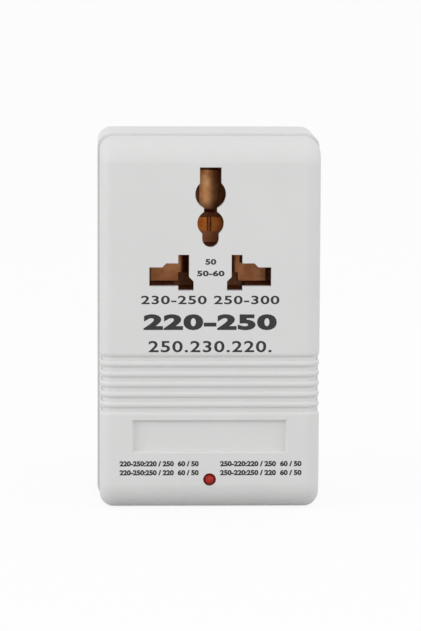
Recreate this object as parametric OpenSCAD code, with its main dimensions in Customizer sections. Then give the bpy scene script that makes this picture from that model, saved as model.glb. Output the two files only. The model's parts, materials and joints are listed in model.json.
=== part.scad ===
// Travel voltage converter: a two-part white case with a universal outlet on its front,
// an autotransformer inside, a folding two-blade plug on its back and a voltage selector
// on its right side. Millimetres. X to the right, Y to the back, Z up, base on Z = 0.

/* [Case] */
// Width of the case
body_w = 53.4; // [52.6:0.2:57]
// Height of the case
body_h = 90; // [88:0.5:96]
// Depth of the case, front face to back face
body_d = 44; // [44:0.5:48]
// Depth of the front cover, front face to seam
front_d = 16; // [15:0.5:17]
// Thickness of the case walls
wall = 2; // [1.9:0.05:2.1]
// Radius of the upright edges and of the case corners
edge_r = 3.5; // [3.2:0.1:3.8]
// Radius of the roll along the front cover's top edge
top_roll = 5.6; // [5:0.1:5.8]
// Radius of the roll along the front cover's base edge
base_roll = 6.4; // [5.6:0.1:6.6]
// How far the rear cover stands out past the front cover, at its sides and its top
rear_step = 0.5; // [0.3:0.05:0.6]
// Width of the shadow line at the seam
seam_gap = 0.45; // [0.3:0.05:0.6]
// Depth of the shadow line at the seam
seam_in = 0.35; // [0.2:0.05:0.45]
// Thickness of the tongue that joins the covers
tongue_t = 0.7; // [0.6:0.05:0.75]
// Length of the tongue
tongue_l = 1.6; // [1.2:0.1:2]

/* [Front face] */
// Distance from the case top to the earth slot's top edge
outlet_drop = 6.5; // [6.4:0.1:7.2]
// Number of cross grooves
groove_n = 6; // [4:1:7]
// Pitch of the cross grooves
groove_pitch = 2.5; // [2.4:0.05:2.6]
// Depth of the cross grooves
groove_depth = 0.75; // [0.6:0.05:0.8]
// Width of the cross grooves at their floor
groove_w = 1.05; // [0.9:0.05:1.2]
// Radius of the arched tops of the ribs between the grooves
rib_r = 1; // [0.9:0.05:1.4]
// Height of the lowest groove above the base
groove_z = 24.6; // [23.8:0.1:26]
// Width of the label recess
label_w = 36.9; // [30:0.1:40]
// Height of the label recess
label_h = 7.4; // [5:0.1:8]
// Height of the label recess's lower edge above the base
label_z = 14.4; // [12.5:0.1:15]
// Depth of the label recess
label_in = 1; // [0.6:0.05:1.1]
// Width of the bevel round the label recess
label_bevel = 0.4; // [0.2:0.05:0.5]
// Height of the lamp above the base
lamp_z = 7.5; // [7.2:0.1:8]
// Radius of the lamp
lamp_r = 1.5; // [1.4:0.05:1.6]

/* [Outlet slots] */
// Half the spacing of the flat three-pin plug's side pins
flat_pin_x = 11.1; // [11:0.05:11.2]
// Height of the side slots
flat_slot_h = 4.58; // [4.4:0.02:4.8]
// Distance from the centre line to the outer end of the side slots
flat_slot_end = 14.7; // [14.5:0.05:14.9]
// Height of the earth slot's top edge above the side slots' centre line
earth_rise = 26.43; // [26.2:0.01:26.6]
// Half the width of the earth slot
earth_half = 2.6; // [2.4:0.05:2.7]
// Radius of the earth slot's large hole
earth_big_r = 3.7; // [3.6:0.02:3.8]
// Radius of the earth slot's second hole
earth_mid_r = 3.2; // [3.1:0.02:3.3]
// Radius of the earth slot's small hole
earth_low_r = 2; // [1.9:0.02:2.1]
// Thickness of the contact metal
leaf_t = 0.5; // [0.4:0.05:0.55]

/* [Folding plug] */
// Spacing of the two blades
blade_pitch = 12.7; // [12.6:0.05:12.8]
// Width of a blade
blade_w = 6.35; // [6.2:0.05:6.4]
// Thickness of a blade
blade_t = 1.5; // [1.4:0.05:1.6]
// Length of a blade past the back face when it is out
blade_len = 17; // [15.5:0.1:17.5]
// Radius of the rotor
rotor_r = 3.7; // [3.65:0.01:3.75]
// Length of the rotor
rotor_l = 20; // [19:0.1:20.5]
// Radius of the pivot pins
pivot_r = 1.2; // [1:0.05:1.4]
// Distance from the case top to the rotor's axis
plug_drop = 14; // [13.6:0.1:14.5]

/* [Selector] */
// Travel of the selector knob
selector_travel = 5; // [4:0.1:5.4]
// Distance from the case top to the selector's middle
selector_drop = 26; // [25:0.2:28]
// Length of the selector knob
knob_l = 6; // [5:0.1:6.4]
// Width of the selector knob
knob_w = 5.2; // [4.6:0.1:5.4]

/* [Transformer] */
// Width of the core
core_w = 41; // [40:0.1:42]
// Distance from the front face to the core's stack
core_front_in = 14; // [13.8:0.1:15]
// Distance from the back face to the core's stack
core_back_in = 12; // [11.8:0.1:13]
// Width of the core's centre leg
leg_w = 13; // [12.5:0.1:13.4]
// Width of the core's outer legs and yokes
yoke_w = 6; // [5.8:0.05:6.2]
// Room between the core's top and the contact carrier
core_room = 6.1; // [5.8:0.1:7]
// Height of the core's underside above the base
core_z = 12.5; // [12:0.1:12.8]
// Thickness of the inner winding
inner_wind_t = 3; // [2.6:0.05:3.1]
// Thickness of the outer winding
outer_wind_t = 2.3; // [2:0.05:2.4]

/* [Fits] */
// Clearance between pieces that slide or turn
run_gap = 0.3; // [0.25:0.05:0.35]
// Radial clearance of the rotor's pivots
pivot_gap = 0.05; // [0.03:0.01:0.08]
// Clearance between pieces set into one another
set_gap = 0.1; // [0.05:0.01:0.15]
// Radial clearance around a screw's thread in its hole
thread_gap = 0.02; // [0.01:0.005:0.04]

/* [Hidden] */
$fn = 48;
eps = 0.02;

// Planes of the case
front_y = -body_d / 2;
back_y = body_d / 2;
seam_y = front_y + front_d;
rear_d = body_d - front_d;
in_front_y = front_y + wall;
in_back_y = back_y - wall;
side_x = body_w / 2;
rear_w = body_w + 2 * rear_step;
rear_h = body_h + rear_step;
rear_x = rear_w / 2;
tongue_in = wall - tongue_t - set_gap;
in_x = side_x - wall;

// Case screws and their bosses
boss_x = side_x - 6.5;
boss_low_z = 7;
boss_high_z = body_h - 7;
boss_r = 3.2;
rear_boss_r = 3.8;
case_screw_r = 1.45;
case_head_r = 2.6;
case_head_h = 1.9;
case_seat_y = seam_y + 7;
case_screw_l = 13;

// Heights of the outlet's features
earth_top_z = body_h - outlet_drop;
outlet_z = earth_top_z - earth_rise;
earth_big_z = earth_top_z - 6.48;
earth_mid_z = earth_top_z - 13.5;
earth_low_z = earth_top_z - 17.27;
neck_half = 1.61;

// Corner points of a side slot, grown outward by g, on the right-hand side
blade_in = 5.12;
blade_out = 7.75;
hook_in = 4.03;
function slot_points(g) = [
    [flat_slot_end + g, flat_slot_h / 2 + g],
    [flat_pin_x + 0.5 + g * 0.41, flat_slot_h / 2 + g],
    [flat_pin_x - 0.45 + g * 0.41, 3.27 + g],
    [blade_out + g, 3.27 + g],
    [blade_out + g, 5.33 + g],
    [blade_in - g, 5.33 + g],
    [blade_in - g, -0.05 + g * 0.41],
    [hook_in - g, -1.13 + g * 0.41],
    [hook_in - g, -3.34 - g],
    [blade_out + g, -3.34 - g],
    [blade_out + g, -flat_slot_h / 2 - g],
    [flat_slot_end + g, -flat_slot_h / 2 - g]
];

// Contact carrier
flat_web_y = front_y + 17.9;
earth_web_y = front_y + 22.9;
leaf_in = 0.35;
pocket_grow = leaf_in + leaf_t + set_gap;
carrier_x = flat_slot_end + 2.3;
carrier_low_z = outlet_z - 5.45;
carrier_mid_z = outlet_z + 7.15;
carrier_top_z = min(earth_top_z + 0.82, body_h - top_roll - 0.05);
carrier_floor = 1.5;
flat_roll_r = 1.8;
flat_floor_y = flat_web_y + flat_roll_r + 0.3;
earth_plate_y = earth_web_y + 0.6;
earth_floor_y = earth_plate_y + leaf_t;
earth_pocket_y = front_y + 6;
earth_pocket_half = earth_mid_r + 0.9;
earth_pocket_top_z = earth_mid_z + earth_mid_r + 0.4;
tower_low_z = carrier_mid_z - 2.5;
earth_pocket_z = max(earth_low_z - 3.3, carrier_mid_z - 1.3);
fork_low_z = earth_low_z - 0.4;
fork_end_half = earth_low_r + 0.9;
tower_half = earth_big_r + 2.7;
ear_x = 12.5;
ear_z = outlet_z + 16;
ear_half_x = 16.2;
ear_half_z = 4.5;
ear_t = 3;
ear_y = in_front_y + 6;
ear_boss_r = 2.8;
ear_screw_r = 1.15;
ear_head_r = 2.2;
ear_head_h = 1.6;
ear_screw_l = 7;
tab_w = 4;
tab_t = 0.7;
tab_l = 5.2;
earth_tab_l = 5;

// Lamp
lamp_hole_r = lamp_r + 0.05;
lamp_collar_r = lamp_r + 1.5;
lamp_flange_y = front_y + 4.3;
lamp_flange_r = lamp_r + 0.4;
lamp_flange_t = 1;
lead_pitch = 2.54;
lead_r = 0.28;
lamp_board_y = front_y + 7.6;
lamp_board_t = 1.6;
lamp_board_x = 8;
lamp_board_low = lamp_z - 4.1;
lamp_board_high = lamp_z + 3.9;
lamp_post_x = 6.2;
lamp_post_r = 1.8;
lamp_peg_r = 1;
resistor_r = 1.15;
resistor_l = 6.2;
resistor_z = lamp_z - 2.9;
resistor_lead_x = 5;
resistor_y = lamp_board_y + lamp_board_t + resistor_r + 0.15;

// Transformer
core_front_y = front_y + core_front_in;
core_back_y = back_y - core_back_in;
core_y = (core_front_y + core_back_y) / 2;
stack_t = core_back_y - core_front_y;
window_l = carrier_low_z - core_room - core_z - 2 * yoke_w;
core_h = window_l + 2 * yoke_w;
core_top_z = core_z + core_h;
window_w = (core_w - leg_w) / 2 - yoke_w;
window_low_z = core_z + yoke_w;
window_top_z = window_low_z + window_l;
core_hole_x = core_w / 2 - yoke_w / 2;
core_hole_low = core_z + yoke_w / 2;
core_hole_high = core_top_z - yoke_w / 2;
core_post_r = 3;
core_head_y = core_front_y;
core_screw_l = stack_t + 7;
sleeve_t = 1;
sleeve_x = leg_w / 2 + set_gap + sleeve_t;
sleeve_y = stack_t / 2 + set_gap + sleeve_t;
flange_t = 1;
flange_x = leg_w / 2 + window_w - 0.2;
flange_y = sleeve_y + flange_x - sleeve_x;
bobbin_low = window_low_z + set_gap;
bobbin_high = window_top_z - set_gap;
wind_low = bobbin_low + flange_t + 0.05;
wind_h = bobbin_high - flange_t - 0.05 - wind_low;
wind_gap = 0.05;
layer_tape_t = 0.3;
cover_tape_t = 0.3;
wind_1 = wind_gap;
tape_1 = wind_1 + inner_wind_t;
wind_2 = tape_1 + layer_tape_t;
tape_2 = wind_2 + outer_wind_t;
wind_out = tape_2 + cover_tape_t;
pin_y = core_y + flange_y - 1.6;
pin_r = 0.5;
pin_h = 6;
cutoff_r = 1.8;
cutoff_l = 9;
cutoff_y = core_y - sleeve_y - wind_out - cutoff_r - 0.05;
cutoff_z = window_low_z + window_l / 2;

// Plug
plug_y = back_y - rotor_r - 0.1;
plug_z = body_h - plug_drop;
blade_tip = back_y - plug_y + blade_len;
blade_tail = rotor_r + 1.3;
tail_half = 1.4;
bay_half = rotor_l / 2 + run_gap;
bay_wall = 1.6;
bay_floor_y = plug_y - rotor_r - 0.6;
bay_back_y = bay_floor_y - bay_wall;
bay_top_z = plug_z + blade_tail + 0.7;
bay_low_z = plug_z - blade_tip - 1;
scoop_r = 5;
scoop_in = 3;
scoop_wall = 1.4;
tail_reach = norm([blade_tail, tail_half]);
blade_x = blade_pitch / 2;
pivot_in = blade_x + blade_t / 2 + 0.8;
pivot_out = bay_half + bay_wall + 0.4;
tail_slot = blade_t + 2 * run_gap + 0.2;
spring_t = 0.5;
spring_w = 4;
spring_low_z = plug_z - 11;
spring_high_z = plug_z + 3.4;
spring_bump_r = 0.7;
rivet_z = plug_z - 7;
rivet_r = 1;
rivet_head_r = 1.7;
rivet_head_t = 0.7;

// Selector
selector_y = back_y - 13;
selector_z = body_h - selector_drop;
selector_half_y = 5.5;
selector_half_z = 10;
selector_back_x = in_x - 10.2;
knob_out_x = rear_x - 0.8;
knob_rest_z = selector_z - selector_travel / 2;
knob_plate_y = knob_w / 2 + 0.9;
knob_plate_z = knob_l / 2 + 3;
knob_plate_t = 1.8;
knob_plate_x = in_x - run_gap - knob_plate_t;
cavity_y = knob_plate_y + run_gap;
cavity_z = knob_plate_z + selector_travel / 2 + run_gap;
cavity_x = knob_plate_x - 2.4;
knob_foot_half = 1.6;
window_y = knob_w / 2 + run_gap;
window_z = knob_l / 2 + selector_travel / 2 + run_gap;
hook_t = 1.5;
hook_w = 4;
hook_lip = 0.9;
term_pitch = 5;
term_y = 2.5;
term_l = 4;

// Fuse
fuse_r = 2.6;
fuse_l = 20;
cap_l = 5.2;
fuse_room = in_x - bay_half - bay_wall;
fuse_x = -in_x + fuse_room / 2;
fuse_z = plug_z - 12;
fuse_board_t = 1.6;
fuse_board_y = in_back_y - 5.8;
fuse_y = fuse_board_y - fuse_r - 1.6;
fuse_board_x = fuse_room / 2 - 1.3;
clip_w = 4;
clip_t = 0.5;
clip_z = fuse_l / 2 - cap_l / 2;
fuse_head_r = 1.8;
fuse_board_z = clip_z + clip_w / 2 + 2 * fuse_head_r + 0.6;
fuse_post_x = fuse_board_x - 2;
fuse_post_z = clip_z + clip_w / 2 + fuse_head_r + 0.2;
fuse_post_r = 2.2;
fuse_screw_r = 0.95;
fuse_head_h = 1.2;
fuse_screw_l = 5;

pin_places = [-flat_pin_x, -blade_x, 0, blade_x, flat_pin_x];

// Hook-up wires
wire_r = 0.7;
bend_r = 1.1;
wire_end = 0.05;
pin_top_z = bobbin_high - flange_t + pin_h;
over_core_z = core_top_z + 1.7;
spring_tab_y = bay_back_y - 2.5;
clip_side_x = fuse_x + fuse_r + clip_t + wire_end;
clip_low_z = fuse_z - clip_z;
clip_high_z = fuse_z + clip_z;
term_x = selector_back_x - term_l - wire_end;
tab_hole_y = flat_floor_y + tab_l - 2;
side_run_x = in_x - 2.1;
lamp_wire_x = 3.4;
lamp_wire_z = lamp_z + 2.4;

// Name of the one sub-part to show, or all of them

// What is left of a square corner outside its rounding
module corner_cut(r) {
    difference() {
        square([r + 1, r + 1]);
        circle(r);
    }
}

// Rectangle from y = 0 to d with its two far corners rounded
module far_rounded(w, d, r, lead = 0) {
    difference() {
        translate([-w / 2, -lead]) square([w, d + lead]);
        translate([w / 2 - r, d - r]) corner_cut(r);
        mirror([1, 0]) translate([w / 2 - r, d - r]) corner_cut(r);
    }
}

// Rectangle standing on y = 0 with all four corners rounded
module all_rounded(w, h, r) {
    difference() {
        translate([-w / 2, 0]) square([w, h]);
        for (s = [0, 1]) {
            mirror([s, 0]) translate([w / 2 - r, h - r]) corner_cut(r);
            mirror([s, 0]) translate([w / 2 - r, r]) mirror([0, 1]) corner_cut(r);
        }
    }
}

// Half of a case, open at y = 0 and rolled over at y = d
module rolled_half(w, h, d, r, top_r, base_r, lead = 0) {
    translate([0, 0, base_r]) linear_extrude(h - base_r - top_r) far_rounded(w, d, r, lead);
    translate([0, d - top_r, h - top_r]) rotate([90, 0, 90]) rotate_extrude(angle = 90)
        roll_section(w, r, top_r);
    translate([0, d - base_r, base_r]) rotate([90, 0, 90]) rotate([0, 0, -90])
        rotate_extrude(angle = 90) roll_section(w, r, base_r);
    translate([0, d - top_r, h - top_r]) rotate([90, 0, 0]) linear_extrude(d - top_r + lead)
        far_rounded(w, top_r, r);
    translate([0, d - base_r, base_r]) mirror([0, 0, 1]) rotate([90, 0, 0])
        linear_extrude(d - base_r + lead) far_rounded(w, base_r, r);
}

// Section that is turned to make a roll
module roll_section(w, r, roll_r) {
    rotate([0, 0, -90]) far_rounded(w, roll_r, r);
}

// Cylinder along Y from y to y + l
module rod_y(x, y, z, r, l) {
    translate([x, y, z]) rotate([-90, 0, 0]) cylinder(r = r, h = l);
}

// Cylinder along X from x to x + l
module rod_x(x, y, z, r, l) {
    translate([x, y, z]) rotate([0, 90, 0]) cylinder(r = r, h = l);
}

// Box between two corners
module block(a, b) {
    translate(a) cube(b - a);
}

// A flat outline in X and Z, from y to y + l
module plate_y(y, l) {
    translate([0, y + l, 0]) rotate([90, 0, 0]) linear_extrude(l) children();
}

// Cross-headed screw along Y with its head toward +Y, seat at y
module screw_back(x, y, z, r, l, head_r, head_h) {
    difference() {
        union() {
            rod_y(x, y - l, z, r, l);
            rod_y(x, y, z, head_r, head_h * 0.6);
            translate([x, y + head_h * 0.6, z]) rotate([-90, 0, 0])
                cylinder(r1 = head_r, r2 = head_r * 0.7, h = head_h * 0.4);
        }
        cross_recess(x, y + head_h, z, head_r, head_h);
    }
}

// Cross-shaped recess in a screw's head
module cross_recess(x, y, z, head_r, head_h) {
    arm = head_r * 0.55;
    slit = head_r * 0.12;
    deep = head_h * 0.6;
    block([x - arm, y - deep, z - slit], [x + arm, y + 0.1, z + slit]);
    block([x - slit, y - deep, z - arm], [x + slit, y + 0.1, z + arm]);
}

// The same screw with its head toward -Y
module screw_front(x, y, z, r, l, head_r, head_h) {
    mirror([0, 1, 0]) screw_back(x, -y, z, r, l, head_r, head_h);
}

// Outline of the right-hand side slot, grown outward by g
module flat_slot(g = 0) {
    translate([0, outlet_z]) polygon(slot_points(g));
}

// Outline of the earth slot
module earth_slot(g_rect = 0, g_big = 0, g_mid = 0, g_low = 0) {
    top_z = earth_top_z + min(g_rect, 0.3);
    translate([-earth_half - g_rect, earth_big_z])
        square([2 * (earth_half + g_rect), top_z - earth_big_z]);
    translate([0, earth_big_z]) circle(earth_big_r + g_big);
    translate([-neck_half - g_mid, earth_mid_z])
        square([2 * (neck_half + g_mid), earth_big_z - earth_mid_z]);
    translate([0, earth_mid_z]) circle(earth_mid_r + g_mid);
    translate([-earth_low_r - g_low, earth_low_z])
        square([2 * (earth_low_r + g_low), 1.5]);
    translate([0, earth_low_z]) circle(earth_low_r + g_low);
}

// Section of one rib between the grooves, with an arched top
module rib_section(half) {
    intersection() {
        translate([rib_r, 0]) circle(rib_r);
        translate([-0.5, -half]) square([0.5 + rib_r, 2 * half]);
    }
}

// Section of the cross grooves: x is the depth below the surface, y is the height
module groove_section() {
    drop = 0.05;
    low = groove_z - groove_pitch / 2;
    high = low + groove_n * groove_pitch;
    difference() {
        translate([-0.6, low]) square([0.6 + groove_depth, high - low]);
        for (i = [0 : groove_n]) {
            translate([drop, low + i * groove_pitch]) rib_section(groove_pitch / 2 - groove_w / 2);
        }
    }
}

// Space that the cross grooves take from the front cover
module groove_space() {
    flat = side_x - edge_r;
    translate([-flat, front_y, 0]) rotate([90, 0, 90]) linear_extrude(2 * flat) groove_section();
    for (s = [0, 1]) {
        mirror([s, 0, 0]) {
            translate([flat, front_y + edge_r, 0]) rotate([0, 0, -90]) rotate_extrude(angle = 90)
                translate([edge_r, 0]) mirror([1, 0]) groove_section();
            translate([side_x, seam_y + 0.5, 0]) rotate([90, 0, 0])
                linear_extrude(front_d - edge_r + 0.5) mirror([1, 0]) groove_section();
        }
    }
}

// Places of the four case screws
module at_case_screws() {
    for (x = [-boss_x, boss_x]) {
        for (z = [boss_low_z, boss_high_z]) {
            translate([x, 0, z]) children();
        }
    }
}

// Front cover with the outlet slots, the cross grooves, the label recess and the lamp hole
module front_cover() {
    color([0.87, 0.87, 0.87])
    difference() {
        union() {
            difference() {
                translate([0, seam_y, 0]) mirror([0, 1, 0])
                    rolled_half(body_w, body_h, front_d, edge_r, top_roll, base_roll);
                translate([0, seam_y, wall]) mirror([0, 1, 0])
                    rolled_half(body_w - 2 * wall, body_h - 2 * wall, front_d - wall, edge_r - wall,
                        top_roll - wall, base_roll - wall, 1);
            }
            at_case_screws() rod_y(0, in_front_y - 1, 0, boss_r, front_d - wall + 1);
            for (x = [-ear_x, ear_x]) {
                rod_y(x, in_front_y - 1, ear_z, ear_boss_r, ear_y - in_front_y + 1);
            }
            rod_y(0, in_front_y - 0.8, lamp_z, lamp_collar_r, lamp_flange_y - in_front_y + 0.8);
            for (x = [-lamp_post_x, lamp_post_x]) {
                rod_y(x, in_front_y - 0.8, lamp_z, lamp_post_r, lamp_board_y - in_front_y + 0.8);
                rod_y(x, lamp_board_y - 1, lamp_z, lamp_peg_r, lamp_board_t + 1.4);
            }
        }
        plate_y(front_y - 1, wall + 2) flat_slot();
        plate_y(front_y - 1, wall + 2) mirror([1, 0]) flat_slot();
        plate_y(front_y - 1, wall + 2) earth_slot();
        groove_space();
        block([-label_w / 2, front_y - 1, label_z],
            [label_w / 2, front_y + label_in, label_z + label_h]);
        label_rim_space();
        rod_y(0, front_y - 1, lamp_z, lamp_hole_r, 8);
        at_case_screws() rod_y(0, seam_y - 8, 0, case_screw_r + thread_gap, 8 + eps);
        for (x = [-ear_x, ear_x]) {
            rod_y(x, ear_y - 5.2, ear_z, ear_screw_r + thread_gap, 5.2 + eps);
        }
        translate([0, 0, tongue_in]) plate_y(seam_y - tongue_l - set_gap, tongue_l + set_gap + 1)
            all_rounded(body_w - 2 * tongue_in, body_h - 2 * tongue_in, edge_r - tongue_in);
    }
}

// Rear cover with the plug bay, the screw bosses, the transformer posts and the selector window
module rear_cover() {
    color([0.85, 0.85, 0.85])
    difference() {
        union() {
            difference() {
                translate([0, seam_y, 0])
                    rolled_half(rear_w, rear_h, rear_d, edge_r, edge_r, edge_r);
                translate([0, seam_y, wall])
                    rolled_half(body_w - 2 * wall, body_h - 2 * wall, rear_d - wall, edge_r - wall,
                        edge_r - wall, edge_r - wall, 1);
            }
            plate_y(seam_y - tongue_l, tongue_l + 2) difference() {
                translate([0, wall - tongue_t])
                    all_rounded(body_w - 2 * (wall - tongue_t), body_h - 2 * (wall - tongue_t),
                        edge_r - wall + tongue_t);
                translate([0, wall])
                    all_rounded(body_w - 2 * wall, body_h - 2 * wall, edge_r - wall);
            }
            at_case_screws() rod_y(0, seam_y, 0, rear_boss_r, rear_d - wall + 0.5);
            for (x = [-core_hole_x, core_hole_x]) {
                for (z = [core_hole_low, core_hole_high]) {
                    rod_y(x, core_back_y, z, core_post_r, in_back_y - core_back_y + 0.5);
                }
            }
            block([-bay_half - bay_wall, bay_back_y, bay_low_z - bay_wall],
                [bay_half + bay_wall, in_back_y + 0.5, bay_top_z + bay_wall]);
            for (s = [-1, 1]) {
                rod_y(fuse_x + s * fuse_post_x, fuse_board_y + fuse_board_t, fuse_z + s * fuse_post_z,
                    fuse_post_r, in_back_y - fuse_board_y - fuse_board_t + 0.5);
            }
            rod_y(0, back_y - scoop_in - scoop_wall, bay_low_z, scoop_r + scoop_wall,
                scoop_in + scoop_wall - 0.5);
            selector_hook(1);
            selector_hook(-1);
        }
        plate_y(seam_y - 1, seam_gap + 1) difference() {
            translate([0, -1]) all_rounded(body_w + 2, body_h + 2, edge_r);
            translate([0, seam_in])
                all_rounded(body_w - 2 * seam_in, body_h - 2 * seam_in, edge_r - seam_in);
        }
        at_case_screws() rod_y(0, seam_y - 1, 0, case_screw_r + 0.15, 10);
        at_case_screws() rod_y(0, case_seat_y, 0, case_head_r + 0.2, back_y - case_seat_y + 1);
        for (x = [-core_hole_x, core_hole_x]) {
            for (z = [core_hole_low, core_hole_high]) {
                rod_y(x, core_back_y - eps, z, case_screw_r + thread_gap, 8);
            }
        }
        block([-bay_half, bay_floor_y, bay_low_z], [bay_half, back_y + 1, bay_top_z]);
        rod_y(0, back_y - scoop_in, bay_low_z, scoop_r, scoop_in + 1);
        rod_x(-bay_half - bay_wall - 1, plug_y, plug_z, pivot_r + pivot_gap, body_w / 2);
        rod_x(0, plug_y, plug_z, pivot_r + pivot_gap, bay_half + bay_wall + 1);
        for (x = [-blade_x, blade_x]) {
            block([x - tail_slot / 2, bay_back_y - 1, plug_z - tail_half - 0.8],
                [x + tail_slot / 2, bay_floor_y + 1, plug_z + tail_half + 2.8]);
            rod_y(x, bay_back_y - 1, rivet_z, rivet_r + thread_gap, bay_wall + 2);
        }
        block([in_x - 1, selector_y - window_y, selector_z - window_z],
            [rear_x + 1, selector_y + window_y, selector_z + window_z]);
        for (s = [-1, 1]) {
            rod_y(fuse_x + s * fuse_post_x, fuse_board_y - eps, fuse_z + s * fuse_post_z,
                fuse_screw_r + thread_gap, fuse_screw_l + eps + 0.3);
        }
    }
}

// Snap hook that holds the selector's case against the side wall, above or below it
module selector_hook(s) {
    gap_z = selector_half_z + set_gap;
    tip_x = selector_back_x - set_gap - 1.4;
    translate([0, selector_y, selector_z]) mirror([0, 0, s < 0 ? 1 : 0]) {
        block([tip_x, -hook_w / 2, gap_z], [in_x + 0.5, hook_w / 2, gap_z + hook_t]);
        block([tip_x, -hook_w / 2, gap_z - hook_lip],
            [selector_back_x - set_gap, hook_w / 2, gap_z + 0.2]);
    }
}

// Section of the bevel across the recess: places beside the middle, and depths behind the face
function rim_points(half) = [
    [-half - 2 * label_bevel, -label_bevel],
    [half + 2 * label_bevel, -label_bevel],
    [half, label_bevel],
    [-half, label_bevel],
];

// Bevelled space round the rim of the label recess
module label_rim_space() {
    reach = 2 * label_bevel;
    intersection() {
        translate([0, front_y, label_z - reach]) linear_extrude(label_h + 2 * reach)
            polygon(rim_points(label_w / 2));
        translate([-label_w / 2 - reach, front_y, label_z + label_h / 2]) rotate([90, 0, 90])
            linear_extrude(label_w + 2 * reach)
            polygon([for (p = rim_points(label_h / 2)) [p[1], p[0]]]);
    }
}

// Four screws that hold the covers together
module case_screws() {
    color([0.7, 0.71, 0.73])
    at_case_screws() screw_back(0, case_seat_y, 0, case_screw_r, case_screw_l, case_head_r, case_head_h);
}

// Insulating block that holds the three contacts behind the front wall
module contact_carrier() {
    color([0.16, 0.09, 0.06])
    difference() {
        union() {
            block([-carrier_x, in_front_y, carrier_low_z],
                [carrier_x, flat_floor_y + carrier_floor, carrier_mid_z]);
            block([-tower_half, in_front_y, tower_low_z],
                [tower_half, earth_floor_y + carrier_floor, carrier_top_z]);
            block([-ear_half_x, ear_y, ear_z - ear_half_z],
                [ear_half_x, ear_y + ear_t, ear_z + ear_half_z]);
        }
        for (s = [0, 1]) {
            mirror([s, 0, 0]) {
                plate_y(in_front_y - 1, flat_floor_y - in_front_y + 1) flat_slot(pocket_grow);
                translate([flat_pin_x, 0, outlet_z]) tab_space(flat_floor_y);
                rod_y(ear_x, ear_y - 1, ear_z, ear_screw_r + 0.2, ear_t + 2);
            }
        }
        plate_y(in_front_y - 1, earth_floor_y - in_front_y + 1) earth_slot(0.6, 1.2, 0.8, 0.6);
        block([-earth_pocket_half, earth_pocket_y, fork_low_z - set_gap],
            [earth_pocket_half, earth_floor_y, earth_pocket_top_z]);
        block([-fork_end_half - set_gap, in_front_y - 1, earth_pocket_z],
            [fork_end_half + set_gap, earth_floor_y, earth_low_z]);
        translate([0, 0, earth_big_z]) tab_space(earth_floor_y);
    }
}

// Slit for a contact's solder tab through a pocket's floor at y
module tab_space(y) {
    half_w = tab_w / 2 + set_gap;
    half_t = tab_t / 2 + set_gap;
    block([-half_w, y - 1, -half_t], [half_w, y + 4, half_t]);
}

// Contact for one side pin: a web at the back, rolled over at its inner edge and bent back at its outer one
module flat_contact() {
    inner = flat_pin_x - 4.25;
    outer = flat_pin_x + 3.05;
    low = outlet_z - 0.9;
    high = outlet_z + 5.3;
    union() {
        plate_y(flat_web_y, leaf_t) {
            translate([inner + leaf_t, outlet_z - 3]) square([outer - inner - leaf_t, 4.5]);
            translate([inner, low]) square([0.9, high - low]);
        }
        translate([inner, flat_web_y + flat_roll_r, low]) rotate([0, 0, 180]) rotate_extrude(angle = 90)
            translate([flat_roll_r - leaf_t, 0]) square([leaf_t, high - low]);
        block([inner - flat_roll_r, flat_web_y + flat_roll_r, low],
            [inner - flat_roll_r + leaf_t, flat_floor_y, high]);
        block([outer - leaf_t, flat_web_y + 0.1, outlet_z - 2], [outer, flat_floor_y, outlet_z + 1.5]);
        difference() {
            block([flat_pin_x - tab_w / 2, flat_web_y + 0.1, outlet_z - tab_t / 2],
                [flat_pin_x + tab_w / 2, flat_floor_y + tab_l, outlet_z + tab_t / 2]);
            translate([flat_pin_x, flat_floor_y + tab_l - 2, outlet_z - 1]) cylinder(r = 0.9, h = 2);
        }
    }
}

// Contact for the line pin, on the right
module line_contact() {
    color([0.78, 0.47, 0.24])
    flat_contact();
}

// Contact for the neutral pin, on the left
module neutral_contact() {
    color([0.78, 0.47, 0.24])
    mirror([1, 0, 0]) flat_contact();
}

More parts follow.
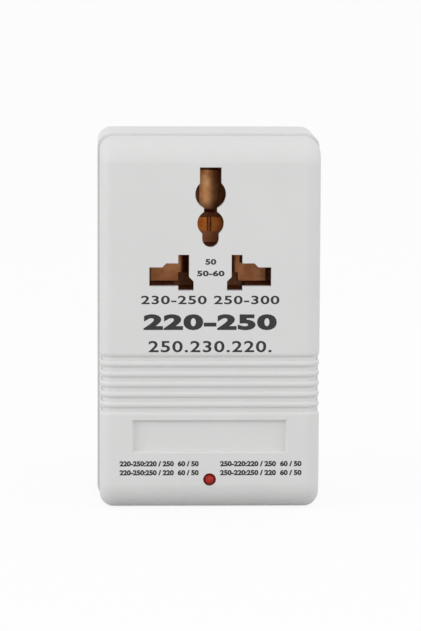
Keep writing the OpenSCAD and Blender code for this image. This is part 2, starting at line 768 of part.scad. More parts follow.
// Contact for the earth pin: a bowed leaf above a forked one, with grip leaves beside them
module earth_contact() {
    bow_r = 10;
    bow_x = 0.3;
    bow_axis_x = bow_x - 0.7;
    bow_half = 2.37;
    bow_low = earth_mid_z + 1.4;
    fork_high = earth_mid_z - 0.7;
    front = in_front_y + set_gap;
    plate = earth_plate_y;
    bow_back_r = plate + leaf_t - earth_web_y - 0.1;
    side = earth_mid_r + 0.1;
    color([0.78, 0.47, 0.24])
    union() {
        intersection() {
            translate([bow_axis_x, earth_web_y + bow_r, bow_low]) difference() {
                cylinder(r = bow_r, h = earth_top_z - bow_low);
                translate([0, 0, -1]) cylinder(r = bow_r - leaf_t, h = 30);
            }
            block([bow_x - bow_half, earth_web_y - 1, bow_low - 1],
                [bow_x + bow_half, plate + leaf_t, earth_top_z + 1]);
        }
        block([bow_x - bow_half + 0.1, plate, bow_low],
            [bow_x + bow_half - 0.1, plate + leaf_t, earth_top_z]);
        translate([bow_x - neck_half, plate + leaf_t, bow_low]) rotate([90, 0, 90]) rotate([0, 0, 180])
            linear_extrude(2 * neck_half) intersection() {
                difference() {
                    circle(bow_back_r);
                    circle(bow_back_r - leaf_t - 0.1);
                }
                square([bow_back_r, bow_back_r]);
            }
        block([-side - leaf_t, plate, bow_low + 0.1], [side + leaf_t, plate + leaf_t, bow_low + 0.7]);
        for (s = [0, 1]) {
            mirror([s, 0, 0]) {
                block([side, plate, fork_high - 0.9], [side + leaf_t, plate + leaf_t, bow_low + 0.7]);
                block([side, front, earth_mid_z - 1.1], [side + leaf_t, plate + 0.1, earth_mid_z + 1.1]);
            }
        }
        block([-side - leaf_t, earth_web_y, fork_low_z], [-0.15, plate + 0.1, fork_high]);
        block([0.95, earth_web_y, fork_low_z], [side + leaf_t, plate + 0.1, fork_high]);
        block([0.2, earth_web_y, fork_low_z], [0.5, plate, fork_high]);
        block([-fork_end_half, earth_web_y, earth_pocket_z + set_gap],
            [fork_end_half, plate + 0.1, fork_low_z]);
        difference() {
            block([-tab_w / 2, plate + 0.1, earth_big_z - tab_t / 2],
                [tab_w / 2, plate + leaf_t + earth_tab_l, earth_big_z + tab_t / 2]);
            translate([0, plate + leaf_t + earth_tab_l - 2, earth_big_z - 1]) cylinder(r = 0.9, h = 2);
        }
    }
}

// Two screws that hold the contact carrier to the front cover
module carrier_screws() {
    color([0.7, 0.71, 0.73])
    for (x = [-ear_x, ear_x]) {
        screw_back(x, ear_y + ear_t, ear_z, ear_screw_r, ear_screw_l, ear_head_r, ear_head_h);
    }
}

// Red indicator lamp
module lamp() {
    color([0.65, 0.05, 0.05])
    difference() {
        union() {
            translate([0, front_y + lamp_r, lamp_z]) sphere(r = lamp_r);
            rod_y(0, front_y + lamp_r, lamp_z, lamp_r, lamp_flange_y - front_y - lamp_r + lamp_flange_t);
            rod_y(0, lamp_flange_y, lamp_z, lamp_flange_r, lamp_flange_t);
        }
        for (x = [-lead_pitch / 2, lead_pitch / 2]) {
            rod_y(x, lamp_flange_y - 0.5, lamp_z, lead_r, 3);
        }
    }
}

// Two leads of the lamp, through its board
module lamp_leads() {
    color([0.8, 0.8, 0.78])
    for (x = [-lead_pitch / 2, lead_pitch / 2]) {
        rod_y(x, lamp_flange_y - 0.5, lamp_z, lead_r, lamp_board_y + lamp_board_t + 0.6 - lamp_flange_y);
    }
}

// Small board behind the lamp, set on two pegs of the front cover
module lamp_board() {
    color([0.62, 0.47, 0.26])
    difference() {
        block([-lamp_board_x, lamp_board_y, lamp_board_low],
            [lamp_board_x, lamp_board_y + lamp_board_t, lamp_board_high]);
        for (x = [-lamp_post_x, lamp_post_x]) {
            rod_y(x, lamp_board_y - 1, lamp_z, lamp_peg_r + 0.05, 4);
        }
        for (x = [-lead_pitch / 2, lead_pitch / 2]) {
            rod_y(x, lamp_board_y - 1, lamp_z, lead_r + thread_gap, 4);
        }
        for (x = [-resistor_lead_x, resistor_lead_x]) {
            rod_y(x, lamp_board_y - 1, resistor_z, lead_r + thread_gap, 4);
        }
        for (x = [-lamp_wire_x, lamp_wire_x]) {
            rod_y(x, lamp_board_y - 1, lamp_wire_z, wire_r + set_gap, 4);
        }
    }
}

// Series resistor of the lamp with its bent leads
module lamp_resistor() {
    color([0.78, 0.68, 0.5])
    union() {
        rod_x(-resistor_l / 2, resistor_y, resistor_z, resistor_r, resistor_l);
        rod_x(-resistor_lead_x, resistor_y, resistor_z, lead_r, 2 * resistor_lead_x);
        for (x = [-resistor_lead_x, resistor_lead_x]) {
            rod_y(x, lamp_board_y - 0.6, resistor_z, lead_r, resistor_y - lamp_board_y + 0.6);
            translate([x, resistor_y, resistor_z]) sphere(r = lead_r);
        }
    }
}

// E-shaped part of the core, open at its top
module core_e_stack() {
    color([0.33, 0.33, 0.35])
    difference() {
        block([-core_w / 2, core_front_y, core_z], [core_w / 2, core_back_y, window_top_z]);
        for (s = [-1, 1]) {
            mid = s * (leg_w + window_w) / 2;
            block([mid - window_w / 2, core_front_y - 1, window_low_z],
                [mid + window_w / 2, core_back_y + 1, window_top_z + 1]);
            rod_y(s * core_hole_x, core_front_y - 1, core_hole_low, case_screw_r + 0.2, stack_t + 2);
        }
    }
}

// I-shaped part of the core, across the E's open end
module core_i_stack() {
    color([0.36, 0.36, 0.38])
    difference() {
        block([-core_w / 2, core_front_y, window_top_z], [core_w / 2, core_back_y, core_top_z]);
        for (s = [-1, 1]) {
            rod_y(s * core_hole_x, core_front_y - 1, core_hole_high, case_screw_r + 0.2, stack_t + 2);
        }
    }
}

// Flat ring around the centre leg, from offset a to offset b outside the bobbin's sleeve
module coil_ring(a, b) {
    difference() {
        coil_outline(b);
        coil_outline(a);
    }
}

// Rounded outline around the centre leg, offset a outside the bobbin's sleeve
module coil_outline(a) {
    translate([0, core_y - sleeve_y - a])
        all_rounded(2 * (sleeve_x + a), 2 * (sleeve_y + a), 0.6 + a);
}

// Bobbin with its sleeve and two flanges
module bobbin() {
    color([0.9, 0.88, 0.8])
    difference() {
        union() {
            translate([0, 0, bobbin_low]) linear_extrude(bobbin_high - bobbin_low) coil_outline(0);
            for (z = [bobbin_low, bobbin_high - flange_t]) {
                block([-flange_x, core_y - flange_y, z], [flange_x, core_y + flange_y, z + flange_t]);
            }
        }
        block([-leg_w / 2 - set_gap, core_front_y - set_gap, bobbin_low - 1],
            [leg_w / 2 + set_gap, core_back_y + set_gap, bobbin_high + 1]);
        for (x = pin_places) {
            translate([x, pin_y, bobbin_high - flange_t - 1]) cylinder(r = pin_r, h = 4);
        }
    }
}

// Five terminal pins on the bobbin's upper flange
module terminal_pins() {
    color([0.8, 0.8, 0.78])
    for (x = pin_places) {
        translate([x, pin_y, bobbin_high - flange_t]) cylinder(r = pin_r, h = pin_h);
    }
}

// Inner winding
module inner_winding() {
    color([0.72, 0.36, 0.18])
    translate([0, 0, wind_low]) linear_extrude(wind_h) coil_ring(wind_1, tape_1);
}

// Tape between the windings
module layer_tape() {
    color([0.88, 0.78, 0.35])
    translate([0, 0, wind_low]) linear_extrude(wind_h) coil_ring(tape_1, wind_2);
}

// Outer winding
module outer_winding() {
    color([0.75, 0.38, 0.18])
    translate([0, 0, wind_low]) linear_extrude(wind_h) coil_ring(wind_2, tape_2);
}

// Tape around the outside of the windings
module cover_tape() {
    color([0.88, 0.78, 0.35])
    translate([0, 0, wind_low]) linear_extrude(wind_h) coil_ring(tape_2, wind_out);
}

// Four long screws through the core into the rear cover's posts
module core_screws() {
    color([0.7, 0.71, 0.73])
    for (x = [-core_hole_x, core_hole_x]) {
        for (z = [core_hole_low, core_hole_high]) {
            screw_front(x, core_head_y, z, case_screw_r, core_screw_l, case_head_r, case_head_h);
        }
    }
}

// Thermal cut-off lying on the windings' front
module thermal_cutoff() {
    color([0.82, 0.8, 0.74])
    union() {
        rod_x(-cutoff_l / 2, cutoff_y, cutoff_z, cutoff_r, cutoff_l);
        translate([cutoff_l / 2, cutoff_y, cutoff_z]) rotate([0, 90, 0])
            cylinder(r1 = cutoff_r * 0.8, r2 = 0.6, h = 1.5);
        rod_x(-cutoff_l / 2 - 5, cutoff_y, cutoff_z, 0.4, cutoff_l + 10);
    }
}

// Board that carries the fuse, on two posts of the rear cover
module fuse_board() {
    color([0.62, 0.47, 0.26])
    difference() {
        block([fuse_x - fuse_board_x, fuse_board_y, fuse_z - fuse_board_z],
            [fuse_x + fuse_board_x, fuse_board_y + fuse_board_t, fuse_z + fuse_board_z]);
        for (s = [-1, 1]) {
            rod_y(fuse_x + s * fuse_post_x, fuse_board_y - 1, fuse_z + s * fuse_post_z,
                fuse_screw_r + set_gap, 4);
        }
    }
}

// Two spring clips for the fuse
module fuse_clips() {
    color([0.75, 0.6, 0.35])
    for (s = [-1, 1]) {
        translate([fuse_x, fuse_y, fuse_z + s * clip_z - clip_w / 2]) difference() {
            union() {
                cylinder(r = fuse_r + eps + clip_t, h = clip_w);
                translate([-1.5, 0, 0]) cube([3, fuse_board_y - fuse_y, clip_w]);
            }
            translate([0, 0, -1]) cylinder(r = fuse_r + eps, h = clip_w + 2);
            translate([-2, -6, -1]) cube([4, 6, clip_w + 2]);
        }
    }
}

// Glass tube of the fuse
module fuse_tube() {
    color([0.85, 0.9, 0.9, 0.6])
    translate([fuse_x, fuse_y, fuse_z - fuse_l / 2 + 0.5]) difference() {
        cylinder(r = fuse_r - 0.2, h = fuse_l - 1);
        translate([0, 0, -1]) cylinder(r = fuse_r - 0.7, h = fuse_l + 2);
    }
}

// Two metal caps on the fuse's ends
module fuse_caps() {
    color([0.8, 0.8, 0.78])
    for (s = [0, 1]) {
        translate([fuse_x, fuse_y, fuse_z]) mirror([0, 0, s]) difference() {
            translate([0, 0, fuse_l / 2 - cap_l]) cylinder(r = fuse_r, h = cap_l);
            translate([0, 0, fuse_l / 2 - cap_l - 1]) cylinder(r = fuse_r - 0.2, h = cap_l + 0.5);
        }
    }
}

// Wire inside the fuse, between its caps
module fuse_wire() {
    color([0.8, 0.8, 0.78])
    translate([fuse_x, fuse_y, fuse_z - fuse_l / 2 + 0.5]) cylinder(r = 0.15, h = fuse_l - 1);
}

// Two screws of the fuse board
module fuse_screws() {
    color([0.7, 0.71, 0.73])
    for (s = [-1, 1]) {
        screw_front(fuse_x + s * fuse_post_x, fuse_board_y, fuse_z + s * fuse_post_z,
            fuse_screw_r, fuse_screw_l, fuse_head_r, fuse_head_h);
    }
}

// Case of the selector, open toward the side wall
module selector_case() {
    color([0.12, 0.12, 0.13])
    translate([0, selector_y, selector_z]) difference() {
        block([selector_back_x, -selector_half_y, -selector_half_z],
            [in_x, selector_half_y, selector_half_z]);
        block([cavity_x, -cavity_y, -cavity_z], [in_x + 1, cavity_y, cavity_z]);
        block([selector_back_x + 1.5, -knob_foot_half - run_gap, -cavity_z + 2],
            [cavity_x + 1, knob_foot_half + run_gap, cavity_z - 2]);
        for (y = [-term_y, term_y]) {
            for (i = [-1 : 1]) {
                block([selector_back_x - 1, y - 0.4, i * term_pitch - 1],
                    [selector_back_x + 1, y + 0.4, i * term_pitch + 1]);
            }
        }
    }
}

// Six terminals on the selector's back
module selector_terminals() {
    color([0.8, 0.8, 0.78])
    translate([0, selector_y, selector_z])
        for (y = [-term_y, term_y]) {
            for (i = [-1 : 1]) {
                block([selector_back_x - term_l, y - 0.4, i * term_pitch - 1],
                    [selector_back_x + 1, y + 0.4, i * term_pitch + 1]);
            }
        }
}

// Knob of the selector with its cover plate, at the lower end of its travel
module selector_knob() {
    color([0.7, 0.09, 0.07])
    translate([0, selector_y, knob_rest_z]) difference() {
        union() {
            block([knob_plate_x, -knob_plate_y, -knob_plate_z],
                [knob_plate_x + knob_plate_t, knob_plate_y, knob_plate_z]);
            block([knob_plate_x, -knob_w / 2, -knob_l / 2], [knob_out_x, knob_w / 2, knob_l / 2]);
            block([cavity_x - 1.6, -knob_foot_half, -knob_foot_half],
                [knob_plate_x + 1, knob_foot_half, knob_foot_half]);
        }
        block([knob_out_x - 0.9, -knob_w / 2 + 0.8, -0.6], [knob_out_x + 1, knob_w / 2 - 0.8, 0.6]);
    }
}

// Rotor that carries the two blades, folded down
module plug_rotor() {
    color([0.83, 0.83, 0.83])
    difference() {
        rod_x(-rotor_l / 2, plug_y, plug_z, rotor_r, rotor_l);
        for (x = [-blade_x, blade_x]) {
            translate([x, plug_y, plug_z]) blade_solid(thread_gap);
        }
        for (s = [0, 1]) {
            mirror([s, 0, 0]) rod_x(pivot_in - 0.1, plug_y, plug_z, pivot_r, rotor_l);
        }
    }
}

// One blade about the rotor's axis, pointing down, grown by g
module blade_solid(g = 0) {
    half = blade_w / 2 + g;
    tip = blade_tip;
    translate([-blade_t / 2 - g, 0, 0]) rotate([90, 0, 90]) linear_extrude(blade_t + 2 * g)
        polygon([[-half, 1.5 + g], [-tail_half - g, 1.5 + g], [-tail_half - g, blade_tail],
            [tail_half + g, blade_tail], [tail_half + g, 1.5 + g], [half, 1.5 + g],
            [half, -tip + 2], [half - 1.4, -tip], [-half + 1.4, -tip], [-half, -tip + 2]]);
}

// Two flat blades set through the rotor
module plug_blades() {
    color([0.82, 0.8, 0.72])
    for (x = [-blade_x, blade_x]) {
        difference() {
            translate([x, plug_y, plug_z]) blade_solid();
            rod_x(x - 2, plug_y, plug_z - blade_tip + 4.5, 1.5, 4);
        }
    }
}

// Two pivot pins in the rotor's ends
module pivot_pins() {
    color([0.7, 0.71, 0.73])
    for (s = [0, 1]) {
        mirror([s, 0, 0]) rod_x(pivot_in, plug_y, plug_z, pivot_r, pivot_out - pivot_in);
    }
}

// Spring that meets a blade's tail when the blades are out
module blade_spring() {
    difference() {
        union() {
            block([blade_x - spring_w / 2, bay_back_y - spring_t, spring_low_z],
                [blade_x + spring_w / 2, bay_back_y, spring_high_z]);
            block([blade_x - spring_bump_r, bay_back_y - 0.1, plug_z - 1],
                [blade_x + spring_bump_r, plug_y - tail_reach - run_gap, plug_z + 1]);
            block([blade_x - 1, bay_back_y - spring_t - 3, spring_low_z],
                [blade_x + 1, bay_back_y, spring_low_z + spring_t]);
        }
        rod_y(blade_x, bay_back_y - 3, rivet_z, rivet_r + thread_gap, 6);
    }
}

// Spring of the line blade
module line_spring() {
    color([0.78, 0.47, 0.24])
    blade_spring();
}

// Spring of the neutral blade
module neutral_spring() {
    color([0.78, 0.47, 0.24])
    mirror([1, 0, 0]) blade_spring();
}

// Two rivets that hold the springs to the bay's floor
module spring_rivets() {
    color([0.75, 0.6, 0.35])
    for (x = [-blade_x, blade_x]) {
        rod_y(x, bay_back_y - spring_t, rivet_z, rivet_r, bay_wall + spring_t);
        rod_y(x, bay_back_y - spring_t - rivet_head_t, rivet_z, rivet_head_r, rivet_head_t);
    }
}

// Direction of a vector
function unit(v) = v / norm(v);

// One straight piece of wire between two points
module wire_run(a, b) {
    d = b - a;
    l = norm(d);
    translate(a) rotate([0, acos(d[2] / l), atan2(d[1], d[0])]) cylinder(r = wire_r, h = l);
}

// A bend at point p, from direction a to direction b, that takes length cut from each run
module wire_bend(p, a, b, cut) {
    side = unit(b - a * (a * b));
    across = cross(-side, a);
    mid = p - a * cut + side * bend_r;
    multmatrix([[-side[0], a[0], across[0], mid[0]],
            [-side[1], a[1], across[1], mid[1]],
            [-side[2], a[2], across[2], mid[2]]])
        rotate_extrude(angle = acos(a * b)) translate([bend_r, 0]) circle(wire_r);
}

// A wire through a list of points, swept round where it bends
module wire(points) {
    last = len(points) - 1;
    way = [for (i = [0 : last - 1]) unit(points[i + 1] - points[i])];
    cut = [for (i = [0 : last])
        i == 0 || i == last ? 0 : bend_r * tan(acos(way[i - 1] * way[i]) / 2)];
    union() {
        for (i = [0 : last - 1]) {
            wire_run(points[i] + way[i] * cut[i], points[i + 1] - way[i] * cut[i + 1]);
        }
        for (i = [1 : last - 1]) {
            wire_bend(points[i], way[i - 1], way[i], cut[i]);
        }
    }
}

// Wires from the blades' springs: line to the fuse, neutral to the transformer
module supply_wires() {
    top_z = spring_low_z - wire_end;
    turn_z = spring_low_z - 3;
    down_y = spring_tab_y - 3.2;
    color([0.08, 0.08, 0.09])
    union() {
        wire([[blade_x, spring_tab_y, top_z],
            [blade_x, spring_tab_y, clip_low_z],
            [clip_side_x, spring_tab_y, clip_low_z]]);
        wire([[-blade_x, spring_tab_y, top_z],
            [-blade_x, spring_tab_y, turn_z],
            [-blade_x, down_y, turn_z],
            [-blade_x, down_y, over_core_z],
            [-blade_x, pin_y, over_core_z],
            [-blade_x, pin_y, pin_top_z + wire_end]]);
    }
}

// Wire from the fuse to the selector
module feed_wire() {
    run_x = -bay_half - bay_wall;
    row_y = selector_y - term_y;
    down_x = term_x - 2.4;
    color([0.55, 0.06, 0.05])
    wire([[clip_side_x, fuse_y, clip_high_z],
        [run_x, fuse_y, clip_high_z],
        [run_x, row_y, clip_high_z],
        [down_x, row_y, clip_high_z],
        [down_x, row_y, selector_z],
        [term_x, row_y, selector_z]]);
}

// Wires from the selector to the transformer's taps
module tap_wires() {
    near_y = selector_y - term_y;
    far_y = selector_y + term_y - 0.2;
    row_z = selector_z - term_pitch;
    color([0.06, 0.12, 0.5])
    union() {
        wire([[term_x, near_y, row_z],
            [blade_x, near_y, row_z],
            [blade_x, near_y, over_core_z],
            [blade_x, pin_y, over_core_z],
            [blade_x, pin_y, pin_top_z + wire_end]]);
        wire([[flat_pin_x, far_y, row_z - 1 - wire_end],
            [flat_pin_x, far_y, over_core_z],
            [flat_pin_x, pin_y, over_core_z],
            [flat_pin_x, pin_y, pin_top_z + wire_end]]);
    }
}

// Wires from the transformer to the outlet's contacts
module outlet_wires() {
    line_z = over_core_z + 2;
    hook_z = outlet_z + 1;
    color([0.55, 0.55, 0.12])
    union() {
        wire([[flat_pin_x, tab_hole_y, hook_z],
            [flat_pin_x, tab_hole_y, line_z],
            [0, tab_hole_y, line_z],
            [0, pin_y, line_z],
            [0, pin_y, pin_top_z + wire_end]]);
        wire([[-flat_pin_x, tab_hole_y, hook_z],
            [-flat_pin_x, tab_hole_y, over_core_z],
            [-flat_pin_x, pin_y, over_core_z],
            [-flat_pin_x, pin_y, pin_top_z + wire_end]]);
    }
}

// Wires from the outlet's contacts to the lamp board, one up each side
module lamp_wires() {
    out_y = lamp_board_y + 3.6;
    cross_z = core_z - 0.2;
    rise_y = flat_floor_y + carrier_floor + 2;
    end_x = flat_pin_x + tab_w / 2 + wire_end;
    color([0.5, 0.5, 0.5])
    for (s = [0, 1]) {
        mirror([s, 0, 0]) wire([[lamp_wire_x, lamp_board_y + 0.6, lamp_wire_z],
            [lamp_wire_x, out_y, lamp_wire_z],
            [lamp_wire_x, out_y, cross_z],
            [side_run_x, out_y, cross_z],
            [side_run_x, out_y, outlet_z],
            [side_run_x, rise_y, outlet_z],
            [end_x, rise_y, outlet_z]]);
    }
}

front_cover();
rear_cover();
case_screws();
contact_carrier();
line_contact();
neutral_contact();
earth_contact();
carrier_screws();
lamp();
lamp_leads();
lamp_board();
lamp_resistor();
core_e_stack();
core_i_stack();
bobbin();
terminal_pins();
inner_winding();
layer_tape();
outer_winding();
cover_tape();
core_screws();
thermal_cutoff();
fuse_board();
fuse_clips();
fuse_tube();
fuse_caps();
fuse_wire();
fuse_screws();
selector_case();
selector_terminals();
selector_knob();
plug_rotor();
plug_blades();
pivot_pins();
line_spring();
neutral_spring();
spring_rivets();
supply_wires();
feed_wire();
tap_wires();
outlet_wires();
lamp_wires();
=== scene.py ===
import json
import math

import bpy
from mathutils import Matrix, Vector


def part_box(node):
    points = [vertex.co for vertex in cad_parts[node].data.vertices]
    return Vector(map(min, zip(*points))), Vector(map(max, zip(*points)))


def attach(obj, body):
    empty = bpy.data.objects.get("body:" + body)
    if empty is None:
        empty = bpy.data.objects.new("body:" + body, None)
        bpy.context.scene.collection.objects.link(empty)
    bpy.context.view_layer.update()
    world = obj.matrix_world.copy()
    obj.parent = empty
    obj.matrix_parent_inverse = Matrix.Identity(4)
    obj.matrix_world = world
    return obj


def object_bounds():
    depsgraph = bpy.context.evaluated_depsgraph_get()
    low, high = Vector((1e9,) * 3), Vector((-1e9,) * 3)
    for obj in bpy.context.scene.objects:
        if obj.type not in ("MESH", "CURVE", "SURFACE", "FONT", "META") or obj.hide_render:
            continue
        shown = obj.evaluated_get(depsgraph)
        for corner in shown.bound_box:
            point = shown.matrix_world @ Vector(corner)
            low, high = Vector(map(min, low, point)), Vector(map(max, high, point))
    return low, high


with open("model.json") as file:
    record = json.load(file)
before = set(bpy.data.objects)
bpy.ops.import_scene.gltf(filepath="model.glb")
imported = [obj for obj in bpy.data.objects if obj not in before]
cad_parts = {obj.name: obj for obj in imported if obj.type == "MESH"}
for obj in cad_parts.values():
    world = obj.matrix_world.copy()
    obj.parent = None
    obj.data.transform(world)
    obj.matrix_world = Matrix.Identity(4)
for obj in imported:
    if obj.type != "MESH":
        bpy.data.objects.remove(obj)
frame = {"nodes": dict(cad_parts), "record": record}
cad_low, cad_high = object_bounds()

MM = 0.001

# The camera stands in front of the converter, a little above it and to its left
CAMERA_PLACE = Vector((-0.02669, -0.822, 0.14992))
CAMERA_AIM = Vector((0.000803, 0.0, 0.044868))
CAMERA_ROLL = 0.0041
CAMERA_LENS = 190.74
CAMERA_SENSOR = 36.0

# Printed marks stand this far out of the face and reach this far into it
INK_PROUD = 0.015 * MM
INK_SUNK = 0.01 * MM

# Heights in millimetres of the small print and of the selector's numbers, with their weight and width
SMALL_PRINT = 1.35
SMALL_WEIGHT = 0.052
SIDE_PRINT = 2.0
SIDE_WIDTH = 5.0

# The earth contact's fork lies between these heights, and its lower end reaches this far below
FORK_Z = (65.83 * MM, 69.3 * MM)
FORK_END = 3.1 * MM

# Its leaf shows between these heights, and painted shade covers its lower end from this far below to this
# far above
LEAF_Z = (71.0 * MM, 80.95 * MM)
LEAF_EDGE = 0.4 * MM
LEAF_FADE = 3.2 * MM

# Tints of the contacts' bronze, the width of half a step between them, and their reach above the leaf
# All tints but the plain one are painted: painted shade below the fork and at the leaf's ends, and a painted
# orange cast of bounced light on the fork
PLAIN_TINT = (1.0, 1.0, 1.0)
BOUNCE_ORANGE_TINT = (0.8, 0.5, 0.25)
FORK_END_SHADE_TINT = (0.53, 0.4, 0.4)
WEB_SHADE_TINT = (0.62, 0.52, 0.52)
LEAF_SHADE_TINT = (0.2, 0.16, 0.16)
TINT_EDGE = 0.1 * MM
TINT_REACH = 1.0 * MM

# The floor's width, its paint for the light that it throws back and for the eye, and its share of white
FLOOR_SIZE = 16.0
FLOOR_BOUNCE = 0.55
FLOOR_SEEN = 0.95
FLOOR_WHITE = 0.88
ROOM_LIGHT = 0.805


# Node building

def new_finish(name):
    """An empty node material, with its tree and its Principled shader."""
    finish = bpy.data.materials.new(name)
    finish.use_nodes = True
    return finish, finish.node_tree, finish.node_tree.nodes["Principled BSDF"]


def place(tree, scale=(1.0, 1.0, 1.0), shift=(0.0, 0.0, 0.0)):
    """The piece's own coordinates in metres, moved and stretched."""
    coords = tree.nodes.new("ShaderNodeTexCoord")
    mapping = tree.nodes.new("ShaderNodeMapping")
    mapping.inputs["Location"].default_value = shift
    mapping.inputs["Scale"].default_value = scale
    tree.links.new(coords.outputs["Object"], mapping.inputs["Vector"])
    return mapping.outputs["Vector"]


def noise(tree, where, size, detail=3.0):
    """A grain whose lumps are about size metres across."""
    node = tree.nodes.new("ShaderNodeTexNoise")
    node.inputs["Scale"].default_value = 1.0 / size
    node.inputs["Detail"].default_value = detail
    node.inputs["Roughness"].default_value = 0.55
    tree.links.new(where, node.inputs["Vector"])
    return node.outputs["Fac"]


def bands(tree, where, pitch, direction, wobble=0.0):
    """Stripes with the given pitch in metres along one axis."""
    node = tree.nodes.new("ShaderNodeTexWave")
    node.bands_direction = direction
    node.inputs["Scale"].default_value = math.pi / (10.0 * pitch)
    node.inputs["Distortion"].default_value = wobble
    node.inputs["Detail"].default_value = 1.0
    tree.links.new(where, node.inputs["Vector"])
    return node.outputs["Fac"]


def between(tree, value, low, high, start=0.3, end=0.7):
    """The value from start to end of a grain, as a number from low to high."""
    node = tree.nodes.new("ShaderNodeMapRange")
    node.inputs["From Min"].default_value = start
    node.inputs["From Max"].default_value = end
    node.inputs["To Min"].default_value = low
    node.inputs["To Max"].default_value = high
    tree.links.new(value, node.inputs["Value"])
    return node.outputs["Result"]


def blend_colours(tree, value, stops):
    """A ramp of colours, given as (position, colour)."""
    node = tree.nodes.new("ShaderNodeValToRGB")
    ramp = node.color_ramp
    while len(ramp.elements) < len(stops):
        ramp.elements.new(0.5)
    for element, (position, colour) in zip(ramp.elements, stops):
        element.position = position
        element.color = (*colour, 1.0)
    tree.links.new(value, node.inputs["Fac"])
    return node.outputs["Color"]


def height_ramp(tree, low, high, stops):
    """A ramp of colours up the piece, given as (height in metres, colour)."""
    split = tree.nodes.new("ShaderNodeSeparateXYZ")
    tree.links.new(place(tree), split.inputs["Vector"])
    rise = between(tree, split.outputs["Z"], 0.0, 1.0, low, high)
    return blend_colours(tree, rise, [((at - low) / (high - low), colour) for at, colour in stops])


def tinted(tree, colour, tint):
    """A colour multiplied by a tint."""
    node = tree.nodes.new("ShaderNodeMixRGB")
    node.blend_type = "MULTIPLY"
    node.inputs["Fac"].default_value = 1.0
    tree.links.new(colour, node.inputs["Color1"])
    tree.links.new(tint, node.inputs["Color2"])
    return node.outputs["Color"]


def relief(tree, height, depth):
    """A bump of the given depth in metres."""
    node = tree.nodes.new("ShaderNodeBump")
    node.inputs["Strength"].default_value = 1.0
    node.inputs["Distance"].default_value = depth
    tree.links.new(height, node.inputs["Height"])
    return node.outputs["Normal"]


def shade(colour, factor):
    """A colour made darker or lighter by a factor."""
    return tuple(min(1.0, channel * factor) for channel in colour)


# Finishes

def moulded(name, colour, rough, spread=0.03, flow=14.0 * MM, gloss=0.5):
    """Moulded plastic: a fine spark-eroded grain, with faint flow in its colour and gloss."""
    finish, tree, shader = new_finish(name)
    where = place(tree)
    cloud = noise(tree, where, flow, 2.0)
    fine = noise(tree, where, 0.12 * MM, 2.0)
    tint = blend_colours(tree, cloud, [(0.3, shade(colour, 1 - spread)), (0.7, shade(colour, 1 + spread))])
    tree.links.new(tint, shader.inputs["Base Color"])
    tree.links.new(between(tree, noise(tree, where, 3 * MM), rough - 0.04, rough + 0.04),
                   shader.inputs["Roughness"])
    tree.links.new(relief(tree, fine, 0.004 * MM), shader.inputs["Normal"])
    shader.inputs["IOR"].default_value = 1.52
    shader.inputs["Specular IOR Level"].default_value = gloss
    return finish


def roll_surface(tree, shader, rough, stretch):
    """Fine lines along the way that a sheet was rolled."""
    rolled = noise(tree, place(tree, scale=stretch), 0.08 * MM, 2.0)
    tree.links.new(between(tree, rolled, rough - 0.06, rough + 0.08), shader.inputs["Roughness"])
    tree.links.new(relief(tree, rolled, 0.003 * MM), shader.inputs["Normal"])


def tarnished(tree, dull, bright):
    """Patches of tarnish on bare metal."""
    patch = noise(tree, place(tree), 2.5 * MM, 4.0)
    return blend_colours(tree, patch, [(0.32, dull), (0.68, bright)])


def sheet_metal(name, dull, bright, rough, stretch=(1.0, 1.0, 1.0)):
    """Rolled sheet metal with some tarnish."""
    finish, tree, shader = new_finish(name)
    tree.links.new(tarnished(tree, dull, bright), shader.inputs["Base Color"])
    roll_surface(tree, shader, rough, stretch)
    shader.inputs["Metallic"].default_value = 1.0
    return finish


def bronze_with_painted_light_and_shade(name, dull, bright, rough):
    """Spring bronze with painted light and shade by height: orange bounce light at the fork, shade at the
    ends.
    """
    finish, tree, shader = new_finish(name)
    fork_low, fork_high = FORK_Z
    leaf_low, leaf_high = LEAF_Z
    # Painted shade below the fork, on the fork's lower end and at both ends of the leaf, and a painted
    # orange cast of bounced light on the fork
    tint = height_ramp(tree, fork_low - FORK_END, leaf_high + TINT_REACH, [
        (fork_low - FORK_END, WEB_SHADE_TINT),
        (fork_low - FORK_END + TINT_EDGE, FORK_END_SHADE_TINT),
        (fork_low - TINT_EDGE, FORK_END_SHADE_TINT),
        (fork_low + TINT_EDGE, BOUNCE_ORANGE_TINT),
        (fork_high, BOUNCE_ORANGE_TINT),
        (leaf_low - LEAF_EDGE, PLAIN_TINT),
        (leaf_low, LEAF_SHADE_TINT),
        (leaf_low + LEAF_FADE, PLAIN_TINT),
        (leaf_high - TINT_EDGE, PLAIN_TINT),
        (leaf_high + TINT_EDGE, LEAF_SHADE_TINT),
    ])
    tree.links.new(tinted(tree, tarnished(tree, dull, bright), tint), shader.inputs["Base Color"])
    roll_surface(tree, shader, rough, (1.0, 0.12, 1.0))
    shader.inputs["Metallic"].default_value = 0.9
    return finish


def insulated(name, colour):
    """Extruded wire insulation: smooth, with a faint waviness."""
    finish, tree, shader = new_finish(name)
    wavy = noise(tree, place(tree), 0.6 * MM, 2.0)
    tree.links.new(blend_colours(tree, wavy, [(0.3, shade(colour, 0.88)), (0.7, shade(colour, 1.1))]),
                   shader.inputs["Base Color"])
    tree.links.new(between(tree, wavy, 0.28, 0.42), shader.inputs["Roughness"])
    tree.links.new(relief(tree, wavy, 0.01 * MM), shader.inputs["Normal"])
    return finish


def laminated(name, colour):
    """A stack of varnished steel sheets, half a millimetre each."""
    finish, tree, shader = new_finish(name)
    where = place(tree)
    sheets = bands(tree, where, 0.5 * MM, "Y", 0.4)
    varnish = noise(tree, where, 4 * MM)
    tree.links.new(blend_colours(tree, sheets, [(0.1, shade(colour, 0.35)), (0.5, colour)]),
                   shader.inputs["Base Color"])
    tree.links.new(between(tree, varnish, 0.3, 0.5), shader.inputs["Roughness"])
    tree.links.new(relief(tree, sheets, 0.05 * MM), shader.inputs["Normal"])
    shader.inputs["Metallic"].default_value = 0.8
    return finish


